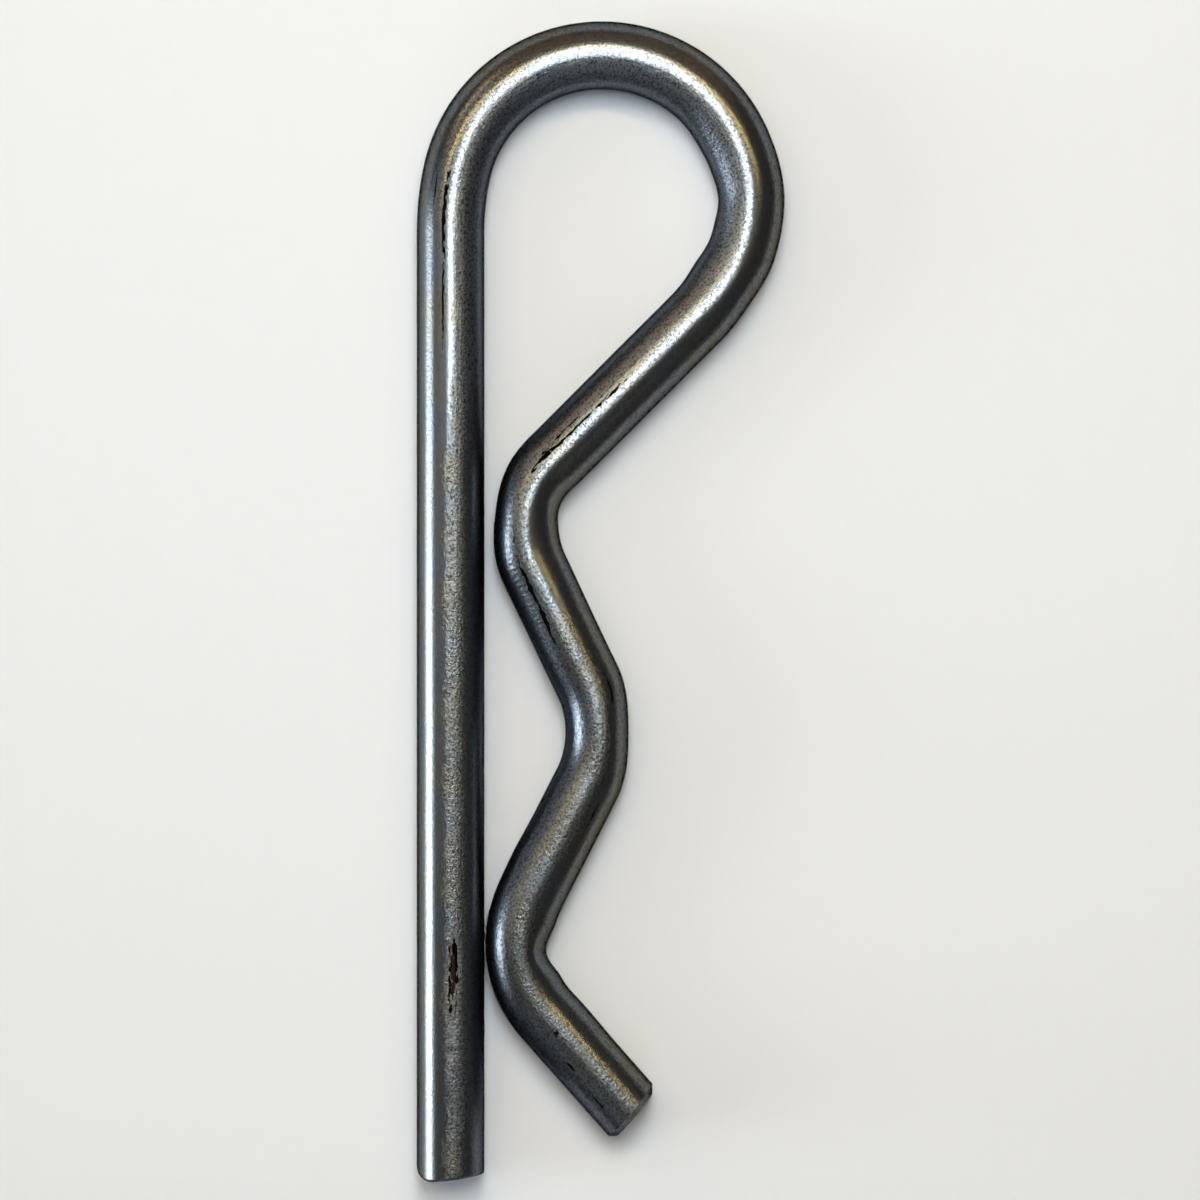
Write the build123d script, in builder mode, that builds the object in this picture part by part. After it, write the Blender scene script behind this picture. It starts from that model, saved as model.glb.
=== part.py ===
from build123d import *
import os
from math import cos, radians, sin

# An R clip for a hitch pin, bent from one length of round spring wire. The straight leg goes
# through the cross hole of the hitch pin, and the bent leg snaps round the outside of that pin.
# The clip lies on its side on Z = 0. Both legs run along Y, with the eye at +Y and the two cropped
# ends towards -Y, and the bent leg is on the +X side. X = 0 and Y = 0 are the middle of its outline.

# Wire and overall length, in millimetres
wire_diameter = 4.0
overall_length = 68.4

# Eye. Each bend of the wire is given by the radius of the former inside it.
eye_diameter = 13.5
shoulder_former_radius = 15.0
shoulder_turn = 12.0
return_angle = 45.0

# Grip and throats of the bent leg. The grip fits the hitch pin without being sprung open, and the
# wire is clear of the straight leg by a little above the grip and by next to nothing below it.
hitch_pin_diameter = 13.6
upper_throat_gap = 0.4
lower_throat_gap = 0.05
upper_throat_former_radius = 3.6
grip_former_radius = 4.8
lower_throat_former_radius = 4.3

# Slopes of the bent leg's straight runs, in degrees from the line of the straight leg
upper_flank_angle = 25.6
lower_flank_angle = 26.8
tail_angle = 41.5
tail_length = 7.9

# Cropped ends. A blade rolls the straight leg's edge over where it enters, and the tail's rim is
# chamfered. The waste is what lies beyond each end before it is cropped.
leg_crop_skew = 7.0
leg_crop_roll = 0.9
tail_crop_skew = 8.6
tail_chamfer = 0.35
crop_waste = 2.0

wire_radius = wire_diameter / 2


def bend_radius(former_radius):
    """Radius of the wire's centre line round a former."""
    return former_radius + wire_radius


shoulder_radius = bend_radius(shoulder_former_radius)
eye_radius = bend_radius(eye_diameter / 2)
upper_throat_radius = bend_radius(upper_throat_former_radius)
grip_radius = bend_radius(grip_former_radius)
lower_throat_radius = bend_radius(lower_throat_former_radius)

# How far the centre line of the bent leg stands off the straight leg's axis at each bend
upper_throat_reach = wire_diameter + upper_throat_gap
grip_reach = hitch_pin_diameter / 2 + wire_radius
lower_throat_reach = wire_diameter + lower_throat_gap

# The eye's centre, across from the straight leg's axis and up from the end of its straight run
shoulder_step = shoulder_radius - eye_radius
eye_reach = shoulder_radius - shoulder_step * cos(radians(shoulder_turn))
eye_rise = shoulder_step * sin(radians(shoulder_turn))

overall_width = wire_diameter + eye_reach + eye_radius
leg_x = wire_radius - overall_width / 2
leg_top_y = overall_length / 2 - wire_radius - eye_radius - eye_rise
leg_end_y = -overall_length / 2


def sagitta(radius, turn):
    """Sideways travel of a bend that starts along the legs and turns by so many degrees."""
    return radius * (1 - cos(radians(turn)))


def run_length(travel, slope):
    """Length of a straight run that moves so far sideways at a slope from the legs."""
    return travel / sin(radians(slope))


# Sideways travel of each straight run: what the bends at its two ends leave over
return_travel = (
    eye_reach + eye_radius * cos(radians(return_angle))
    - upper_throat_reach - sagitta(upper_throat_radius, return_angle)
)
upper_flank_travel = (
    grip_reach - upper_throat_reach
    - sagitta(upper_throat_radius + grip_radius, upper_flank_angle)
)
lower_flank_travel = (
    grip_reach - lower_throat_reach
    - sagitta(grip_radius + lower_throat_radius, lower_flank_angle)
)


def straight(after, length):
    """A straight run that carries on from the end of the last piece."""
    return Line(after @ 1, after @ 1 + (after % 1) * length)


def bend(after, radius, turn):
    """A bend that carries on from the end of the last piece, anticlockwise if positive."""
    return JernArc(after @ 1, after % 1, radius, turn)


with BuildPart() as r_clip:
    # Centre line of the wire, from below the straight leg's end round to the tail
    with BuildLine():
        leg = Line((leg_x, leg_end_y - crop_waste, wire_radius), (leg_x, leg_top_y, wire_radius))
        shoulder = bend(leg, shoulder_radius, -shoulder_turn)
        eye = bend(shoulder, eye_radius, shoulder_turn - 180 - return_angle)
        return_run = straight(eye, run_length(return_travel, return_angle))
        upper_throat = bend(return_run, upper_throat_radius, return_angle + upper_flank_angle)
        upper_flank = straight(upper_throat, run_length(upper_flank_travel, upper_flank_angle))
        grip = bend(upper_flank, grip_radius, -upper_flank_angle - lower_flank_angle)
        lower_flank = straight(grip, run_length(lower_flank_travel, lower_flank_angle))
        lower_throat = bend(lower_flank, lower_throat_radius, lower_flank_angle + tail_angle)
        tail = straight(lower_throat, tail_length + crop_waste)
    with BuildSketch(Plane(origin=leg @ 0, z_dir=leg % 0)):
        Circle(wire_radius)
    sweep()

    # The straight leg's end. The sketch is the waste, seen with its X from the axis to the side
    # where the blade enters and its Y along the leg to the end: the edge is rolled over there, and
    # the blade's line then runs a little off square to a sharp edge where it leaves.
    leg_end = Plane((leg_x, leg_end_y, wire_radius), x_dir=(-1, 0, 0), z_dir=(0, 0, 1))
    with BuildSketch(leg_end):
        with BuildLine():
            entry = Line((wire_diameter, -leg_crop_roll), (wire_radius, -leg_crop_roll))
            roll = JernArc(entry @ 1, (0, 1), leg_crop_roll, 90 + leg_crop_skew)
            blade = straight(roll, 1.25 * wire_diameter)
            Polyline(
                blade @ 1,
                ((blade @ 1).X, 2 * crop_waste),
                (wire_diameter, 2 * crop_waste),
                entry @ 0,
            )
        make_face()
    extrude(amount=wire_diameter, both=True, mode=Mode.SUBTRACT)

    # The tail's end, cropped a little off square and chamfered so that it rides over the pin
    tail_end = lower_throat @ 1 + (tail % 1) * tail_length
    crop_way = (tail % 1).rotate(Axis.Z, tail_crop_skew)
    with BuildSketch(Plane(tail_end, x_dir=(0, 0, 1), z_dir=crop_way)):
        Rectangle(2 * wire_diameter, 2 * wire_diameter)
    extrude(amount=2 * crop_waste, mode=Mode.SUBTRACT)
    chamfer(r_clip.faces().sort_by_distance(tail_end)[0].edges(), tail_chamfer)

r_clip.part.label = "r_clip"
os.makedirs("parts", exist_ok=True)
export_step(r_clip.part, "parts/r_clip.step")
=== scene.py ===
# R clip: one length of drawn and zinc-plated spring wire, bent cold and cropped at both ends.
# It lies on its side on a pale floor, legs along Y, with the eye at +Y and the bent leg at +X.
from collections import namedtuple
from math import atan2, ceil, cos, pi, radians, sin, sqrt, tan

import bmesh
import bpy
from mathutils import Matrix, Vector, noise


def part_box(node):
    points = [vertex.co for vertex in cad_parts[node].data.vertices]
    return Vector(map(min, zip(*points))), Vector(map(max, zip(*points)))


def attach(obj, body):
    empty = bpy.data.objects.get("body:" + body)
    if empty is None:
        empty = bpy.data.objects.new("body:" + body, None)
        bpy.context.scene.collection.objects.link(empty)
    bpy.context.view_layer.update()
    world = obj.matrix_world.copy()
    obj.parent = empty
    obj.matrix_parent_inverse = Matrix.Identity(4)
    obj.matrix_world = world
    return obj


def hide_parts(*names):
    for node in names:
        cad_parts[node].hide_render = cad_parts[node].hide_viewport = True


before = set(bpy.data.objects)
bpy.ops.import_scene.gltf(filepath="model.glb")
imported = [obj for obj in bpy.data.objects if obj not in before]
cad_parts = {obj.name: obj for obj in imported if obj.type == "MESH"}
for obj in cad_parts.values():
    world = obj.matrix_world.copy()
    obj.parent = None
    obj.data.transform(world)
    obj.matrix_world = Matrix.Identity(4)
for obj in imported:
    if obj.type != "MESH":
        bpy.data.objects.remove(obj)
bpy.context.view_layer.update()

MM = 0.001
UP = Vector((0, 0, 1))

# Wire and bends, the same sizes as the solid's
WIRE = 4.0 * MM
WIRE_RADIUS = WIRE / 2
EYE_RADIUS = 13.5 * MM / 2 + WIRE_RADIUS
SHOULDER_RADIUS = 15.0 * MM + WIRE_RADIUS
SHOULDER_TURN = radians(12.0)
RETURN_ANGLE = radians(45.0)
HITCH_PIN = 13.6 * MM
UPPER_THROAT_GAP = 0.4 * MM
LOWER_THROAT_GAP = 0.05 * MM
UPPER_THROAT_RADIUS = 3.6 * MM + WIRE_RADIUS
GRIP_RADIUS = 4.8 * MM + WIRE_RADIUS
LOWER_THROAT_RADIUS = 4.3 * MM + WIRE_RADIUS
UPPER_FLANK_ANGLE = radians(25.6)
LOWER_FLANK_ANGLE = radians(26.8)
TAIL_ANGLE = radians(41.5)
TAIL_LENGTH = 7.9 * MM

# Cropped ends
LEG_CROP_SKEW = radians(7.0)
LEG_CROP_ROLL = 0.9 * MM
TAIL_CROP_SKEW = radians(8.6)
TAIL_CHAMFER = 0.35 * MM

# How deep the dents in the straight leg are, and how far the skin undulates: a little all along,
# and more where the tools worked it
DENT_DEPTH = 0.05 * MM
WAVE = 1.5 * MM
WAVE_DEPTH = 0.006 * MM
WORKED_DEPTH = 0.03 * MM
WORKED_REACH = 7 * MM

# How finely the wire's skin is divided, round it and along it. The rings are first drawn a few
# steps apart, and the cuts then fill in the rings between them.
SECTION_SIDES = 96
RING_STEP = 0.17 * MM
RING_CUTS = 7

# Rings that close the two cropped faces, as shares of the section: close together where the leg's
# edge is rolled over, and starting at the chamfer on the tail
LEG_INSETS = [0.995, 0.98, 0.955, 0.92, 0.88, 0.82, 0.74, 0.65, 0.55, 0.44, 0.32, 0.2, 0.08]
TAIL_INSETS = [1 - TAIL_CHAMFER / WIRE_RADIUS, 0.7, 0.5, 0.3, 0.12]

# Finish of the steel: its grain and pits, the lines that the die left, the patches in which its tone
# drifts, the ragged outline of its marks, the blades' streaks and the throat tool's ripples. Real
# grain is finer, and is drawn as coarse as it shows.
GRAIN = 0.16 * MM
GRAIN_DEPTH = 0.036 * MM
SPECK = 0.13 * MM
DIE_LINE = 0.16 * MM
DIE_LINE_LENGTH = 5 * MM
CLOUD = 3 * MM
RAGGED = 0.15 * MM
STREAK = 0.07 * MM
STREAK_LENGTH = 0.9 * MM
RIPPLE = 0.3 * MM
RIPPLE_DEPTH = 0.0018 * MM

# The rough strip that lies along the wire: how far to the right of the top its left edge reaches at
# most, on the leg, round the eye and from the grip on, and how far each of two noises draws it back
STRIP_ON_LEG = 0.28 * WIRE_RADIUS
STRIP_ON_EYE = 0.6 * WIRE_RADIUS
STRIP_ON_GRIP = 0.1 * WIRE_RADIUS
EDGE_WANDER = 0.5 * WIRE_RADIUS

# How strongly noise tears the outline of a mark
TEAR = 1.4

# How high the camera is over the clip, the share of the picture's height that the clip fills, and
# how large the floor is, with lengths in metres
CAMERA_DISTANCE = 0.25
FILL = 0.964
FLOOR_RADIUS = 0.9


# The wire's route

Run = namedtuple("Run", "name start length point heading turn radius")


def sagitta(radius, turn):
    """Sideways travel of a bend that starts along the legs."""
    return radius * (1 - cos(turn))


def wire_route():
    """The straight runs and bends of the centre line, each tangent to the last, from the leg's end."""
    low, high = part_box("r_clip")
    shoulder_step = SHOULDER_RADIUS - EYE_RADIUS
    eye_reach = SHOULDER_RADIUS - shoulder_step * cos(SHOULDER_TURN)
    eye_rise = shoulder_step * sin(SHOULDER_TURN)
    grip_reach = HITCH_PIN / 2 + WIRE_RADIUS
    upper_reach = WIRE + UPPER_THROAT_GAP
    lower_reach = WIRE + LOWER_THROAT_GAP
    leg_length = high.y - low.y - WIRE_RADIUS - EYE_RADIUS - eye_rise
    return_travel = (
        eye_reach + EYE_RADIUS * cos(RETURN_ANGLE)
        - upper_reach - sagitta(UPPER_THROAT_RADIUS, RETURN_ANGLE)
    )
    upper_travel = (
        grip_reach - upper_reach - sagitta(UPPER_THROAT_RADIUS + GRIP_RADIUS, UPPER_FLANK_ANGLE)
    )
    lower_travel = (
        grip_reach - lower_reach - sagitta(GRIP_RADIUS + LOWER_THROAT_RADIUS, LOWER_FLANK_ANGLE)
    )
    steps = [
        ("leg", leg_length, 0, 0),
        ("shoulder", 0, -SHOULDER_TURN, SHOULDER_RADIUS),
        ("eye", 0, SHOULDER_TURN - pi - RETURN_ANGLE, EYE_RADIUS),
        ("return_run", return_travel / sin(RETURN_ANGLE), 0, 0),
        ("upper_throat", 0, RETURN_ANGLE + UPPER_FLANK_ANGLE, UPPER_THROAT_RADIUS),
        ("upper_flank", upper_travel / sin(UPPER_FLANK_ANGLE), 0, 0),
        ("grip", 0, -UPPER_FLANK_ANGLE - LOWER_FLANK_ANGLE, GRIP_RADIUS),
        ("lower_flank", lower_travel / sin(LOWER_FLANK_ANGLE), 0, 0),
        ("lower_throat", 0, LOWER_FLANK_ANGLE + TAIL_ANGLE, LOWER_THROAT_RADIUS),
        ("tail", TAIL_LENGTH - TAIL_CHAMFER, 0, 0),
    ]
    runs = []
    start, point, heading = 0.0, Vector((low.x + WIRE_RADIUS, low.y, WIRE_RADIUS)), pi / 2
    for name, length, turn, radius in steps:
        length = length or radius * abs(turn)
        runs.append(Run(name, start, length, point, heading, turn, radius))
        point, heading = place_on_run(runs[-1], length)
        start += length
    return runs


def ahead(heading):
    return Vector((cos(heading), sin(heading), 0))


def rightward(heading):
    return Vector((sin(heading), -cos(heading), 0))


def bend_centre(run):
    """Centre of a bend: on the right of the way along the wire if it turns clockwise."""
    side = 1 if run.turn < 0 else -1
    return run.point + rightward(run.heading) * side * run.radius


def place_on_run(run, distance):
    """Point and heading of the centre line, so far from the start of a run."""
    if not run.turn:
        return run.point + ahead(run.heading) * distance, run.heading
    turned = run.turn * distance / run.length
    centre = bend_centre(run)
    return centre + Matrix.Rotation(turned, 3, "Z") @ (run.point - centre), run.heading + turned


ROUTE = wire_route()
RUN = {run.name: run for run in ROUTE}
WIRE_LENGTH = ROUTE[-1].start + ROUTE[-1].length


def place_on_wire(station):
    """Point and heading of the centre line at a station, which is the distance from the leg's end."""
    run = next((run for run in reversed(ROUTE) if station >= run.start), ROUTE[0])
    return place_on_run(run, station - run.start)


# Small curves for shaping

def smooth(low, high, value):
    """0 below low, 1 above high, and an even S between them."""
    share = min(max((value - low) / (high - low), 0.0), 1.0)
    return share * share * (3 - 2 * share)


def hump(value, middle, reach):
    """1 at the middle, falling evenly to 0 at the reach on both sides."""
    return 1 - smooth(0, reach, abs(value - middle))


# What forming and use left on the wire

# Where the bending tools pressed its side in, or made it swell if the depth is negative. The
# station is the middle of the press, the side is 1 on the right of the way along the wire and -1 on
# the left, and the reach is how far along the wire it runs out each way.
Press = namedtuple("Press", "station side depth reach")


def press(station, side, depth, reach):
    return Press(station * MM, side, depth * MM, reach * MM)


PRESSES = [
    press(80.5, 1, -0.10, 3.0),
    press(84.6, -1, -0.07, 3.0),
    press(84.8, 1, 0.15, 2.2),
    press(90.4, -1, 0.14, 2.4),
    press(90.2, 1, -0.20, 2.8),
    press(107.0, -1, 0.17, 2.6),
    press(108.6, 1, 0.17, 2.8),
    press(112.0, -1, -0.05, 4.0),
    press(122.2, -1, 0.27, 3.2),
    press(131.0, 1, -0.08, 3.0),
    press(136.3, -1, 0.42, 2.4),
    press(141.5, -1, -0.06, 3.0),
]

# Dents, the throat tool's ripples, and scratches and pits of dark scale, all on the top side. The
# station is where the mark's middle lies, and the tilt is how far it lies round to the right of the
# top, in degrees.
Mark = namedtuple("Mark", "station tilt length width")


def mark(station, tilt, length, width):
    return Mark(station * MM, radians(tilt), length * MM, width * MM)


SCAR = mark(12.4, 7, 4.0, 0.66)
DENTS = [
    SCAR,
    mark(35.3, 3, 0.7, 0.28),
    mark(9.4, 5, 2.4, 0.6),
    mark(7.6, 4, 0.9, 0.4),
    mark(5.0, 0, 1.2, 0.3),
]
RIPPLES = mark(110.5, 40, 8.0, 1.6)
SCALE_MARKS = [
    mark(10.2, 2, 0.6, 0.16),
    mark(11.8, 1, 3.0, 0.22),
    mark(12.9, 12, 2.8, 0.22),
    mark(14.0, 9, 1.4, 0.20),
    mark(51.6, -11, 5.6, 0.15),
    mark(56.7, -10, 6.2, 0.24),
    mark(58.3, -30, 2.2, 0.12),
    mark(95.3, 13, 4.6, 0.09),
    mark(99.6, 9, 2.2, 0.20),
    mark(102.9, 11, 5.4, 0.15),
    mark(103.4, 21, 4.0, 0.14),
    mark(105.0, 15, 1.8, 0.28),
    mark(112.9, 19, 5.0, 0.24),
    mark(115.2, 22, 2.4, 0.14),
    mark(120.0, -33, 2.2, 0.18),
    mark(126.6, -33, 1.8, 0.15),
    mark(141.4, 3, 0.6, 0.26),
    mark(143.4, 24, 1.2, 0.20),
    mark(146.0, 30, 1.4, 0.16),
]


def press_relief(station, across):
    """How far the tools pressed the section in, to the left if positive."""
    relief = 0.0
    for spot in PRESSES:
        near = hump(station, spot.station, spot.reach)
        side_share = smooth(0.1, 1.0, spot.side * across / WIRE_RADIUS)
        relief += spot.side * spot.depth * near * side_share
    return relief


def undulation(across, up, station):
    """How far the skin rises, in slow waves."""
    bends = [RUN[name] for name in ("upper_throat", "grip", "lower_throat")]
    worked = max(hump(station, bend.start + bend.length / 2, WORKED_REACH) for bend in bends)
    depth = WAVE_DEPTH + WORKED_DEPTH * worked
    return noise.noise(Vector((across, up, station / 2)) / WAVE) * depth


def mark_field(spot, station, tilt):
    """1 at the middle of a mark, a half at its edge and 0 as far again outside it."""
    along = (station - spot.station) / (spot.length / 2)
    round_it = (tilt - spot.tilt) * WIRE_RADIUS / (spot.width / 2)
    return max(0.0, 1 - sqrt(along * along + round_it * round_it) / 2)


def leg_end_rise(across):
    """How far the leg's cropped face lies up the wire, at a distance to the right of its axis."""
    roll_centre = LEG_CROP_ROLL - WIRE_RADIUS
    roll_end = roll_centre + LEG_CROP_ROLL * sin(LEG_CROP_SKEW)
    if across < roll_end:
        reach = min(LEG_CROP_ROLL, abs(across - roll_centre))
        return LEG_CROP_ROLL - sqrt(LEG_CROP_ROLL ** 2 - reach ** 2)
    rise_there = LEG_CROP_ROLL * (1 - cos(LEG_CROP_SKEW))
    return rise_there + (across - roll_end) * tan(LEG_CROP_SKEW)


def end_shift(station, across):
    """How far the skin is carried along the wire, so that it meets the two cropped faces."""
    leg_share = 1 - smooth(0, 5 * LEG_CROP_ROLL, station)
    tail_share = smooth(WIRE_LENGTH - WIRE, WIRE_LENGTH - TAIL_CHAMFER, station)
    return leg_end_rise(across) * leg_share + across * tan(TAIL_CROP_SKEW) * tail_share


# The wire as a mesh

def distance_along(run, point):
    """How far along a run a point of the skin lies."""
    if not run.turn:
        return (point - run.point).dot(ahead(run.heading))
    first, now = run.point - bend_centre(run), point - bend_centre(run)
    turned = atan2(first.cross(now).z, first.dot(now)) * (1 if run.turn > 0 else -1)
    slack = 0.1  # so that a point a hair before the bend isn't taken for one a whole turn on
    return (turned + slack) % (2 * pi) * run.radius - slack * run.radius


def walk_run(bm, edges, run, layer):
    """Draws the section along one run in even steps, and stores how far along the wire each new
    point lies."""
    steps = ceil(run.length / (RING_STEP * (RING_CUTS + 1)))
    ring = edges + list(dict.fromkeys(vert for edge in edges for vert in edge.verts))
    if run.turn:
        move = {"cent": bend_centre(run), "axis": UP, "angle": run.turn}
    else:
        move = {"dvec": ahead(run.heading) * run.length / steps}
    made = bmesh.ops.spin(bm, geom=ring, steps=steps, **move)["geom_last"]
    for vert in bm.verts:
        across, up, station = vert[layer]
        if station >= run.start - RING_STEP:
            vert[layer] = (across, up, run.start + distance_along(run, vert.co))
    return [item for item in made if isinstance(item, bmesh.types.BMEdge)]


def close_end(bm, edges, station, layer, insets):
    """Closes an end with rings drawn in to these shares of the section, and a last small face.
    Gives the rings' edges, from the rim inwards."""
    rings = [edges]
    for share in insets:
        made = bmesh.ops.extrude_edge_only(bm, edges=rings[-1])["geom"]
        new = {item for item in made if isinstance(item, bmesh.types.BMVert)}
        for vert in new:
            angle = atan2(vert[layer].y, vert[layer].x)
            reach = WIRE_RADIUS * share
            vert[layer] = (reach * cos(angle), reach * sin(angle), station)
        edges = [item for item in made if isinstance(item, bmesh.types.BMEdge)]
        rings.append([edge for edge in edges if new.issuperset(edge.verts)])
    bmesh.ops.holes_fill(bm, edges=rings[-1], sides=SECTION_SIDES)
    return rings


def shape_skin(bm, layer, mark_layer):
    """Places each point of the skin by where it was on the drawn wire, then pressed, dented and
    cropped, and stores how near it is to the scar, the ripples and the marks of scale."""
    for vert in bm.verts:
        across, up, station = vert[layer]
        tilt = atan2(across, up)
        centre, heading = place_on_wire(station)
        scale = max(mark_field(spot, station, tilt) for spot in SCALE_MARKS)
        vert[mark_layer] = (
            mark_field(SCAR, station, tilt), mark_field(RIPPLES, station, tilt), scale
        )
        dent = max(smooth(0.3, 1, mark_field(spot, station, tilt)) for spot in DENTS)
        swell = 1 + (undulation(across, up, station) - DENT_DEPTH * dent) / WIRE_RADIUS
        vert.co = (
            centre
            + rightward(heading) * (across * swell - press_relief(station, across))
            + UP * up * swell
            + ahead(heading) * end_shift(station, across)
        )


def make_wire():
    """Draws a round section along the whole route, closes its ends and shapes the skin."""
    bm = bmesh.new()
    layer = bm.verts.layers.float_vector.new("drawn")
    mark_layer = bm.verts.layers.float_vector.new("marks")
    start = ROUTE[0].point
    facing = Matrix.Translation(start) @ Matrix.Rotation(pi / 2, 4, "X")
    section = bmesh.ops.create_circle(
        bm, cap_ends=False, segments=SECTION_SIDES, radius=WIRE_RADIUS, matrix=facing
    )["verts"]
    for vert in section:
        vert[layer] = (vert.co.x - start.x, vert.co.z - start.z, 0)
    first_edges = list(bm.edges)
    edges = first_edges
    for run in ROUTE:
        edges = walk_run(bm, edges, run, layer)
    lengthways = [
        edge for edge in bm.edges
        if abs(edge.verts[0][layer].z - edge.verts[1][layer].z) > RING_STEP
    ]
    bmesh.ops.subdivide_edges(bm, edges=lengthways, cuts=RING_CUTS, use_grid_fill=True)
    chamfer_rings = close_end(bm, edges, WIRE_LENGTH + TAIL_CHAMFER, layer, TAIL_INSETS)[:2]
    close_end(bm, first_edges, 0, layer, LEG_INSETS)
    shape_skin(bm, layer, mark_layer)
    bmesh.ops.recalc_face_normals(bm, faces=bm.faces)
    for face in bm.faces:
        face.smooth = True
    for edge in chamfer_rings[0] + chamfer_rings[1]:
        edge.smooth = False
    mesh = bpy.data.meshes.new("r_clip_wire")
    bm.to_mesh(mesh)
    bm.free()
    wire = bpy.data.objects.new("r_clip_wire", mesh)
    bpy.context.scene.collection.objects.link(wire)
    return wire


# Materials

def colour(hex_code):
    """Linear colour of an sRGB hex value."""
    parts = [int(hex_code[i:i + 2], 16) / 255 for i in (1, 3, 5)]
    linear = [c / 12.92 if c <= 0.04045 else ((c + 0.055) / 1.055) ** 2.4 for c in parts]
    return (*linear, 1.0)


def add(tree, kind, inputs=None, **settings):
    """Adds a node with its settings, and fills or links its inputs, given by name or number."""
    node = tree.nodes.new(kind)
    for name, value in settings.items():
        setattr(node, name, value)
    for socket, value in (inputs or {}).items():
        if isinstance(value, bpy.types.NodeSocket):
            tree.links.new(value, node.inputs[socket])
        else:
            node.inputs[socket].default_value = value
    return node


def new_material(name):
    material = bpy.data.materials.new(name)
    material.use_nodes = True
    material.node_tree.nodes.clear()
    return material, material.node_tree


# What the finish is drawn from: where a point of the skin was on the drawn wire, how near it is to
# the scar, the ripples and the marks of scale, and the two noises that several features share
Skin = namedtuple("Skin", "drawn across station scar ripples scale cloud torn")


def read_skin(tree):
    drawn = add(tree, "ShaderNodeAttribute", attribute_name="drawn").outputs["Vector"]
    marks = add(tree, "ShaderNodeAttribute", attribute_name="marks").outputs["Vector"]
    near = add(tree, "ShaderNodeSeparateXYZ", {"Vector": marks}).outputs
    place = add(tree, "ShaderNodeSeparateXYZ", {"Vector": drawn}).outputs
    cloud = add(
        tree, "ShaderNodeTexNoise", {"Vector": drawn, "Scale": 1 / CLOUD, "Detail": 3.0}
    ).outputs["Fac"]
    stretched = add(
        tree, "ShaderNodeMapping",
        {"Vector": drawn, "Scale": (1 / RAGGED, 1 / RAGGED, 1 / (3 * RAGGED))},
    ).outputs["Vector"]
    torn = add(
        tree, "ShaderNodeTexNoise", {"Vector": stretched, "Scale": 1.0, "Detail": 4.0}
    ).outputs["Fac"]
    return Skin(drawn, place["X"], place["Z"], near["X"], near["Y"], near["Z"], cloud, torn)


def wandering_place(tree, skin):
    """The place across the wire, shifted to and fro so that what ends at a line ends raggedly."""
    ragged = add(
        tree, "ShaderNodeMath", {0: skin.torn, 1: EDGE_WANDER, 2: skin.across},
        operation="MULTIPLY_ADD",
    ).outputs[0]
    return add(
        tree, "ShaderNodeMath", {0: skin.cloud, 1: EDGE_WANDER, 2: ragged}, operation="MULTIPLY_ADD"
    ).outputs[0]


def rough_strip(tree, skin, wandering):
    """1 in the rough strip, which lies along the top of the leg, on the right of the top round the
    eye, and on the left from the grip on. It is fainter past the eye and on its own right side."""
    leg_end = RUN["shoulder"].start
    line_to_eye = add(
        tree, "ShaderNodeMapRange",
        {
            "Value": skin.station,
            "From Min": leg_end - 14 * MM, "From Max": leg_end - 6 * MM,
            "To Min": STRIP_ON_LEG, "To Max": STRIP_ON_EYE,
        },
    ).outputs[0]
    line = add(
        tree, "ShaderNodeMapRange",
        {
            "Value": skin.station,
            "From Min": RUN["upper_throat"].start, "From Max": RUN["grip"].start,
            "To Min": line_to_eye, "To Max": STRIP_ON_GRIP,
        },
    ).outputs[0]
    past_line = add(
        tree, "ShaderNodeMath", {0: wandering, 1: line}, operation="SUBTRACT"
    ).outputs[0]
    past_eye = add(
        tree, "ShaderNodeMapRange",
        {
            "Value": skin.station,
            "From Min": RUN["return_run"].start - 5 * MM, "From Max": RUN["return_run"].start,
            "To Min": 1.0, "To Max": 0.5,
        },
    ).outputs[0]
    left_edge = add(
        tree, "ShaderNodeMapRange",
        {"Value": past_line, "From Max": 0.2 * WIRE_RADIUS, "To Max": past_eye},
        interpolation_type="SMOOTHSTEP",
    ).outputs[0]
    return add(
        tree, "ShaderNodeMapRange",
        {
            "Value": past_line, "From Min": 0.5 * WIRE_RADIUS, "From Max": 0.8 * WIRE_RADIUS,
            "To Min": left_edge, "To Max": 0.3,
        },
        interpolation_type="SMOOTHSTEP",
    ).outputs[0]


def cropped_faces(tree, skin):
    """1 on the two cropped faces, where the wire's drawn skin ends."""
    half_length = (WIRE_LENGTH + TAIL_CHAMFER) / 2
    from_middle = add(
        tree, "ShaderNodeMath", {0: skin.station, 1: half_length}, operation="SUBTRACT"
    ).outputs[0]
    off_middle = add(tree, "ShaderNodeMath", {0: from_middle}, operation="ABSOLUTE").outputs[0]
    return add(
        tree, "ShaderNodeMath", {0: off_middle, 1: half_length - 0.01 * MM}, operation="GREATER_THAN"
    ).outputs[0]


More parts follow.
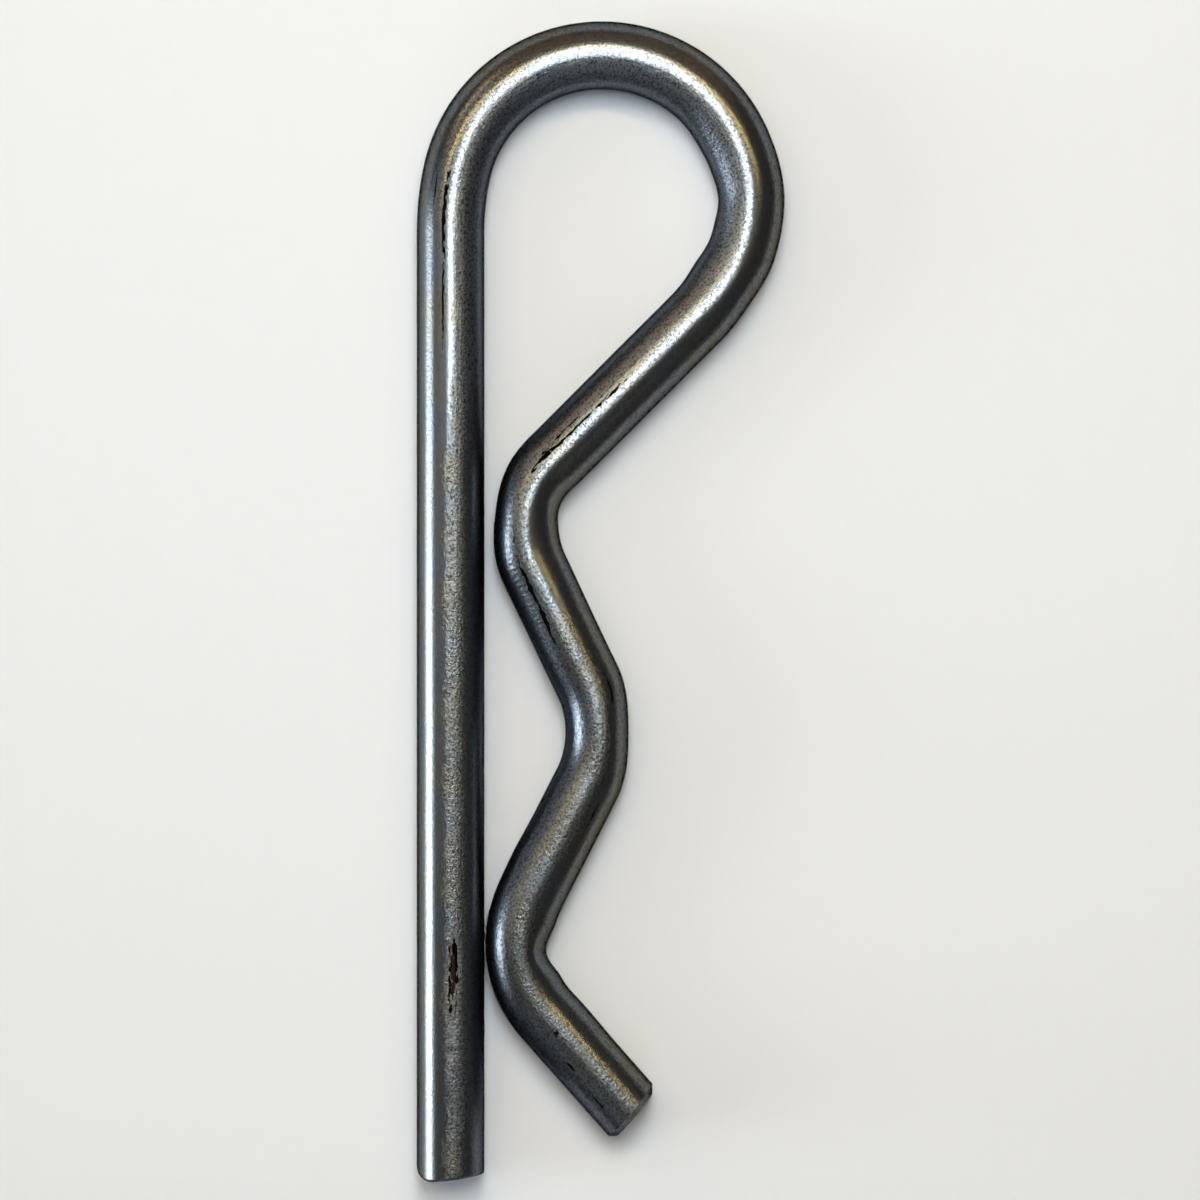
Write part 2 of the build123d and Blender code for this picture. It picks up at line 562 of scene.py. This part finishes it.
def drawn_relief(tree, skin, grain, strip):
    """Height of the plating's grain, the fainter lines that the die left, and the tool's ripples."""
    along_wire = add(
        tree, "ShaderNodeMapping",
        {"Vector": skin.drawn, "Scale": (1 / DIE_LINE, 1 / DIE_LINE, 1 / DIE_LINE_LENGTH)},
    ).outputs["Vector"]
    lines = add(
        tree, "ShaderNodeTexNoise", {"Vector": along_wire, "Scale": 1.0, "Detail": 2.0}
    ).outputs["Fac"]
    even_lines = add(tree, "ShaderNodeMath", {0: lines, 1: 0.5}, operation="SUBTRACT").outputs[0]
    grain_and_lines = add(
        tree, "ShaderNodeMath", {0: even_lines, 1: 0.35, 2: grain}, operation="MULTIPLY_ADD"
    ).outputs[0]
    roughness = add(
        tree, "ShaderNodeMapRange", {"Value": strip, "To Min": 0.22, "To Max": 1.0}
    ).outputs[0]
    grain_height = add(
        tree, "ShaderNodeMath", {0: grain_and_lines, 1: roughness}, operation="MULTIPLY"
    ).outputs[0]
    uneven = add(tree, "ShaderNodeMath", {0: skin.cloud, 1: 15.0}, operation="MULTIPLY").outputs[0]
    turns = add(
        tree, "ShaderNodeMath", {0: skin.station, 1: 2 * pi / RIPPLE, 2: uneven},
        operation="MULTIPLY_ADD",
    ).outputs[0]
    wave = add(tree, "ShaderNodeMath", {0: turns}, operation="SINE").outputs[0]
    rippled = add(
        tree, "ShaderNodeMapRange",
        {
            "Value": skin.ripples, "From Min": 0.3, "From Max": 0.8,
            "To Max": RIPPLE_DEPTH / GRAIN_DEPTH,
        },
    ).outputs[0]
    return add(
        tree, "ShaderNodeMath", {0: wave, 1: rippled, 2: grain_height}, operation="MULTIPLY_ADD"
    ).outputs[0]


def cropped_relief(tree, skin, grain):
    """Height of the blades' streaks across the cropped faces."""
    across_face = add(
        tree, "ShaderNodeMapping",
        {"Vector": skin.drawn, "Scale": (1 / STREAK_LENGTH, 1 / STREAK, 0)},
    ).outputs["Vector"]
    streaks = add(
        tree, "ShaderNodeTexNoise", {"Vector": across_face, "Scale": 1.0, "Detail": 2.0}
    ).outputs["Fac"]
    return add(
        tree, "ShaderNodeMath", {0: streaks, 1: 0.5, 2: grain}, operation="MULTIPLY_ADD"
    ).outputs[0]


def steel_tone(tree, skin, wandering):
    """A cool grey that drifts to an olive one, and a painted cool reflection: a slightly darker slate
    blue on the right side.
    """
    drift = add(
        tree, "ShaderNodeMapRange", {"Value": skin.cloud, "From Min": 0.38, "From Max": 0.62}
    ).outputs[0]
    grey = add(
        tree, "ShaderNodeMixRGB",
        {"Fac": drift, "Color1": colour("#6e7275"), "Color2": colour("#72716b")},
    ).outputs[0]
    # Painted reflection: the right side is tinted a slightly darker slate blue, the colour of the cool
    # window's glint there
    painted_cool_reflection = add(
        tree, "ShaderNodeMapRange",
        {"Value": wandering, "From Min": 0.7 * WIRE_RADIUS, "From Max": 1.2 * WIRE_RADIUS},
    ).outputs[0]
    return add(
        tree, "ShaderNodeMixRGB",
        {"Fac": painted_cool_reflection, "Color1": grey, "Color2": colour("#6a6f76")},
    ).outputs[0]


def pitted(tree, skin, strip, steel):
    """The steel's tone with a mottle of tiny dark pits, thickest in the rough strip."""
    speck = add(
        tree, "ShaderNodeTexNoise", {"Vector": skin.drawn, "Scale": 1 / SPECK, "Detail": 1.0}
    ).outputs["Fac"]
    pits = add(
        tree, "ShaderNodeMapRange",
        {"Value": speck, "From Min": 0.32, "From Max": 0.55, "To Min": 0.8, "To Max": 0.0},
    ).outputs[0]
    beside_strip = add(
        tree, "ShaderNodeMapRange",
        {
            "Value": skin.station,
            "From Min": RUN["shoulder"].start, "From Max": RUN["eye"].start,
            "To Min": 0.3, "To Max": 0.75,
        },
    ).outputs[0]
    share = add(
        tree, "ShaderNodeMapRange", {"Value": strip, "To Min": beside_strip, "To Max": 1.0}
    ).outputs[0]
    specks = add(tree, "ShaderNodeMath", {0: pits, 1: share}, operation="MULTIPLY").outputs[0]
    return add(
        tree, "ShaderNodeMixRGB", {"Fac": specks, "Color1": steel, "Color2": colour("#28292a")}
    ).outputs[0]


def torn_mark(tree, skin, nearness, outer, inner):
    """1 in a mark and 0 outside it, with its outline torn by noise."""
    torn = add(
        tree, "ShaderNodeMath", {0: skin.torn, 1: -TEAR, 2: nearness}, operation="MULTIPLY_ADD"
    ).outputs[0]
    return add(
        tree, "ShaderNodeMapRange", {"Value": torn, "From Min": outer, "From Max": inner}
    ).outputs[0]


def plated_steel():
    """Spring steel wire, drawn through a die, thinly zinc plated and passivated: a dark satin metal
    that is smooth on one side and has a fine rough grain on the other, which breaks up the edge of
    each reflection. The cropped faces are bare, matt and streaked, and the marks hold black scale,
    with a little red rust in the scar."""
    material, tree = new_material("zinc_plated_spring_steel")
    skin = read_skin(tree)
    wandering = wandering_place(tree, skin)
    strip = rough_strip(tree, skin, wandering)
    cropped = cropped_faces(tree, skin)

    # The grain is centred on nought, so that it leaves no step where it fades out
    noise_of_grain = add(
        tree, "ShaderNodeTexNoise",
        {"Vector": skin.drawn, "Scale": 1 / GRAIN, "Detail": 2.0, "Roughness": 0.6},
    ).outputs["Fac"]
    grain = add(
        tree, "ShaderNodeMath", {0: noise_of_grain, 1: 0.5}, operation="SUBTRACT"
    ).outputs[0]
    height = add(
        tree, "ShaderNodeMapRange",
        {
            "Value": cropped,
            "To Min": drawn_relief(tree, skin, grain, strip),
            "To Max": cropped_relief(tree, skin, grain),
        },
    ).outputs[0]
    normal = add(
        tree, "ShaderNodeBump", {"Height": height, "Distance": GRAIN_DEPTH}
    ).outputs["Normal"]

    # Colour
    bare = add(
        tree, "ShaderNodeMixRGB",
        {
            "Fac": cropped,
            "Color1": pitted(tree, skin, strip, steel_tone(tree, skin, wandering)),
            "Color2": colour("#6f6e6b"),
        },
    ).outputs[0]
    scar = torn_mark(tree, skin, skin.scar, -0.14, -0.04)
    scale = torn_mark(tree, skin, skin.scale, -0.2, -0.14)
    scaled = add(tree, "ShaderNodeMath", {0: scar, 1: scale}, operation="MAXIMUM").outputs[0]
    rust = add(
        tree, "ShaderNodeMath", {0: scar, 1: scale}, operation="SUBTRACT", use_clamp=True
    ).outputs[0]
    scale_colour = add(
        tree, "ShaderNodeMixRGB",
        {"Fac": rust, "Color1": colour("#101010"), "Color2": colour("#3c2826")},
    ).outputs[0]
    finish = add(
        tree, "ShaderNodeMixRGB", {"Fac": scaled, "Color1": bare, "Color2": scale_colour}
    ).outputs[0]

    # Roughness
    drawn_rough = add(
        tree, "ShaderNodeMapRange", {"Value": strip, "To Min": 0.25, "To Max": 0.4}
    ).outputs[0]
    bare_rough = add(
        tree, "ShaderNodeMapRange", {"Value": cropped, "To Min": drawn_rough, "To Max": 0.5}
    ).outputs[0]
    rough = add(
        tree, "ShaderNodeMapRange", {"Value": scaled, "To Min": bare_rough, "To Max": 0.8}
    ).outputs[0]
    shader = add(
        tree, "ShaderNodeBsdfPrincipled",
        {
            "Base Color": finish, "Metallic": 1.0, "Roughness": rough,
            "Specular Tint": colour("#707070"), "Normal": normal,
        },
    )
    add(tree, "ShaderNodeOutputMaterial", {"Surface": shader.outputs[0]})
    return material


def paper():
    """Matt, slightly cool white paper."""
    material, tree = new_material("matt_white_paper")
    shader = add(
        tree, "ShaderNodeBsdfPrincipled", {"Base Color": colour("#dfe2e7"), "Roughness": 0.9}
    )
    add(tree, "ShaderNodeOutputMaterial", {"Surface": shader.outputs[0]})
    return material


# Stage, light and camera

def make_floor():
    """A round sheet of paper, whose far edge stands for the horizon."""
    bm = bmesh.new()
    bmesh.ops.create_circle(bm, cap_ends=True, segments=64, radius=FLOOR_RADIUS)
    mesh = bpy.data.meshes.new("floor")
    bm.to_mesh(mesh)
    bm.free()
    floor = bpy.data.objects.new("floor", mesh)
    bpy.context.scene.collection.objects.link(floor)
    floor.data.materials.append(paper())


def add_lamp(name, middle, along, size, radiance, tint):
    """A flat rectangular lamp that faces the clip's middle, with its first side along the given
    way. Middle and size are in metres, and radiance is what the metal reflects, with 1 as white."""
    light = bpy.data.lights.new(name, "AREA")
    light.shape = "RECTANGLE"
    light.size, light.size_y = size
    light.color = colour(tint)[:3]
    light.energy = radiance * pi * size[0] * size[1]
    lamp = bpy.data.objects.new(name, light)
    back = Vector(middle).normalized()
    side = back.cross(Vector(along)).normalized()
    facing = Matrix((side.cross(back), side, back)).transposed().to_4x4()
    lamp.matrix_world = Matrix.Translation(middle) @ facing
    lamp.visible_camera = False
    bpy.context.scene.collection.objects.link(lamp)


def light_floor():
    """Spot lamps that light the floor in a ring round the clip, and not the clip itself. The window
    already lights the floor on the left."""
    ring, height, reach = 0.8, 2.0, 0.62
    irradiance = 2.6
    for turn in (-120, -60, 0, 60, 120):
        light = bpy.data.lights.new("floor_spot", "SPOT")
        light.spot_size = 2 * atan2(reach, height)
        light.spot_blend = 1.0
        light.energy = 4 * pi * height ** 2 * irradiance
        lamp = bpy.data.objects.new("floor_spot", light)
        lamp.location = (ring * cos(radians(turn)), ring * sin(radians(turn)), height)
        bpy.context.scene.collection.objects.link(lamp)


def make_lights():
    """A low cool window on the left, a cool lamp over the eye with a thin warm rim and a warm card
    beyond it, and the dim ceiling and two walls that their light spreads on."""
    add_lamp("window", (-1.12, -0.094, 0.268), (0, 1, 0), (0.37, 0.5), 13.5, "#e8f5ff")
    add_lamp("overhead", (0.002, 0.06, 0.2), (1, 0, 0), (0.056, 0.112), 14.5, "#eef8ff")
    add_lamp("warm_rim_left", (-0.16, 0.215, 0.5), (1, 0.36, 0), (0.36, 0.024), 21.0, "#ffdc92")
    add_lamp("warm_rim_right", (0.15, 0.225, 0.5), (1, -0.34, 0), (0.34, 0.024), 21.0, "#ffdc92")
    add_lamp("warm_card", (-0.43, 0.43, 0.35), (1, 1, 0), (0.22, 0.1), 3.0, "#ffd9ac")
    add_lamp("ceiling", (-0.3, 0.15, 0.4), (0, 1, 0), (0.4, 0.4), 0.45, "#eef4ff")
    add_lamp("front_wall", (0, -0.6, 0.5), (1, 0, 0), (0.9, 0.5), 0.5, "#eef4ff")
    add_lamp("warm_wall", (0, 0.7, 0.4), (1, 0, 0), (1.4, 0.5), 0.3, "#ffcf9a")


def make_world():
    """A dim room that is paler towards the horizon."""
    world = bpy.data.worlds.new("room")
    bpy.context.scene.world = world
    world.use_nodes = True
    tree = world.node_tree
    tree.nodes.clear()
    way = add(tree, "ShaderNodeTexCoord").outputs["Generated"]
    height = add(tree, "ShaderNodeSeparateXYZ", {"Vector": way}).outputs["Z"]
    strength = add(
        tree, "ShaderNodeMapRange",
        {"Value": height, "From Min": 0.0, "From Max": 0.13, "To Min": 0.72, "To Max": 0.12},
        interpolation_type="SMOOTHSTEP",
    ).outputs[0]
    background = add(tree, "ShaderNodeBackground", {"Strength": strength})
    add(tree, "ShaderNodeOutputWorld", {"Surface": background.outputs[0]})


def make_camera():
    """Straight above the clip, with the clip's length filling almost the whole height."""
    low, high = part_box("r_clip")
    camera = bpy.data.cameras.new("camera")
    camera.sensor_width = 36.0
    camera.lens = camera.sensor_width * CAMERA_DISTANCE * FILL / (high.y - low.y)
    camera.clip_start, camera.clip_end = 0.01, 20
    item = bpy.data.objects.new("camera", camera)
    middle = (low + high) / 2
    item.location = (middle.x, middle.y, WIRE_RADIUS + CAMERA_DISTANCE)
    bpy.context.scene.collection.objects.link(item)
    bpy.context.scene.camera = item


wire = make_wire()
wire.data.materials.append(plated_steel())
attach(wire, "root")
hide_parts("r_clip")
make_floor()
make_lights()
light_floor()
make_world()
make_camera()
bpy.context.scene.view_settings.view_transform = "Standard"
